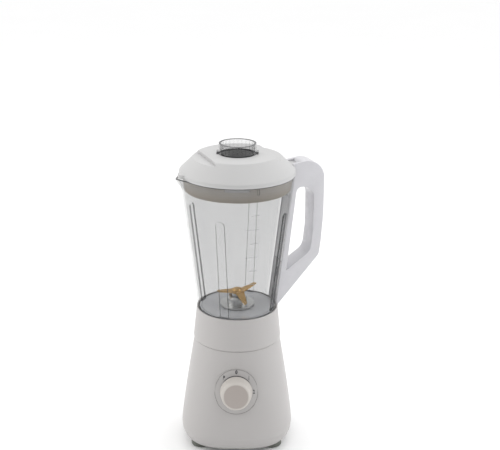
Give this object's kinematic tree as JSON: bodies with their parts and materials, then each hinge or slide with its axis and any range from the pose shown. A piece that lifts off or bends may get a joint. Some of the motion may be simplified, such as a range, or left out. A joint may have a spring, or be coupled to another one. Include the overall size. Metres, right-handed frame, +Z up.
{
  "type": "countertop blender",
  "caption": "Countertop blender with a motor base, rotary dial, clear handled jar with a blade unit, domed lid and measuring cup.",
  "frame": {"origin": "on the drive axis, at the plane the rubber feet stand on", "axes": "+Z up along the drive axis, -Y towards the dial, +X to the right as seen from the dial"},
  "size_m": [0.1804, 0.1558, 0.388],
  "materials": {
    "base_white": "satin off-white moulding",
    "knob_white": "satin warm white",
    "cover_grey": "satin pale grey",
    "foot_rubber": "matt",
    "seal_rubber": "matt",
    "silicone": "matt cream silicone",
    "coupling_black": "satin black nylon",
    "dark_plastic": "satin",
    "lamination": "dull stacked sheet",
    "copper_wire": "lacquered copper",
    "brass_part": "drawn",
    "carbon": "matt carbon",
    "steel": "bright",
    "bearing_steel": "ground",
    "zinc": "pressed",
    "clear": "clear moulded polymer",
    "handle_white": "satin cool white",
    "lid_white": "satin white",
    "hub_steel": "satin grey",
    "blade_gold": "golden coated"
  },
  "bodies": {
    "base": {"rubber_feet": "foot_rubber", "bottom_cover": "base_white", "cover_screws": "steel", "base_housing": "base_white", "top_deck": "base_white", "shaft_seal": "seal_rubber", "motor_stator": "lamination", "field_coils": "copper_wire", "upper_bracket": "zinc", "lower_bracket": "zinc", "motor_bolts": "steel", "motor_mounts": "seal_rubber", "mount_screws": "steel", "upper_bearing": "bearing_steel", "lower_bearing": "bearing_steel", "brush_holders": "brass_part", "carbon_brushes": "carbon", "switch_body": "dark_plastic", "switch_nut": "steel", "interlock_spring": "steel", "interlock_switch": "dark_plastic", "cord_inlet": "seal_rubber"},
    "drive": {"motor_shaft": "steel", "armature": "lamination", "commutator": "copper_wire", "cooling_fan": "dark_plastic", "drive_coupling": "coupling_black"},
    "knob": {"switch_spindle": "steel", "speed_knob": "knob_white"},
    "pin": {"interlock_pin": "dark_plastic"},
    "jar_unit": {"jar": "clear", "jar_collar": "base_white", "collar_screws": "steel", "jar_handle": "handle_white", "handle_back_cover": "cover_grey", "rod_spring": "steel", "hub_gasket": "silicone", "blade_hub": "hub_steel", "hub_nut": "steel", "blade_bushes": "brass_part"},
    "link": {"safety_rod": "steel"},
    "blades": {"blade_shaft": "steel", "blade_spacer": "steel", "lower_blade": "blade_gold", "upper_blade": "blade_gold", "blade_rivet": "blade_gold", "driven_coupling": "coupling_black"},
    "lid_unit": {"lid": "lid_white", "lid_seal": "silicone"},
    "cup": {"measuring_cup": "clear"}
  },
  "joints": [
    {"name": "jar_lift", "type": "slide", "parent": "base", "child": "jar_unit", "axis": [0, 0, 1], "range_m": [0, 0.059]},
    {"name": "lid_lift", "type": "slide", "parent": "jar_unit", "child": "lid_unit", "axis": [0, 0, 1], "range_m": [0, 0.054]},
    {"name": "cup_lift", "type": "slide", "parent": "lid_unit", "child": "cup", "axis": [0, 0, 1], "range_m": [0, 0.048]},
    {"name": "knob_turn", "type": "hinge", "parent": "base", "child": "knob", "pos_m": [0, -0.06215, 0.088], "axis": [0, 0.988, -0.1547], "range_deg": [-45, 90]},
    {"name": "drive_spin", "type": "hinge", "parent": "base", "child": "drive", "pos_m": [0, 0, 0.1], "axis": [0, 0, 1], "continuous": true},
    {"name": "blade_spin", "type": "hinge", "parent": "jar_unit", "child": "blades", "pos_m": [0, 0, 0.19], "axis": [0, 0, 1], "continuous": true},
    {"name": "pin_press", "type": "slide", "parent": "base", "child": "pin", "axis": [0, 0, -1], "range_m": [0, 0.0025], "stiffness_N_per_m": 150, "springref_m": -0.002, "deforming": ["interlock_spring"]},
    {"name": "link_press", "type": "slide", "parent": "jar_unit", "child": "link", "axis": [0, 0, -1], "range_m": [0, 0.003], "stiffness_N_per_m": 200, "springref_m": -0.003, "deforming": ["rod_spring"]}
  ],
  "couplings": [
    {"joint": "blade_spin", "follows": "drive_spin", "ratio": 1}
  ]
}
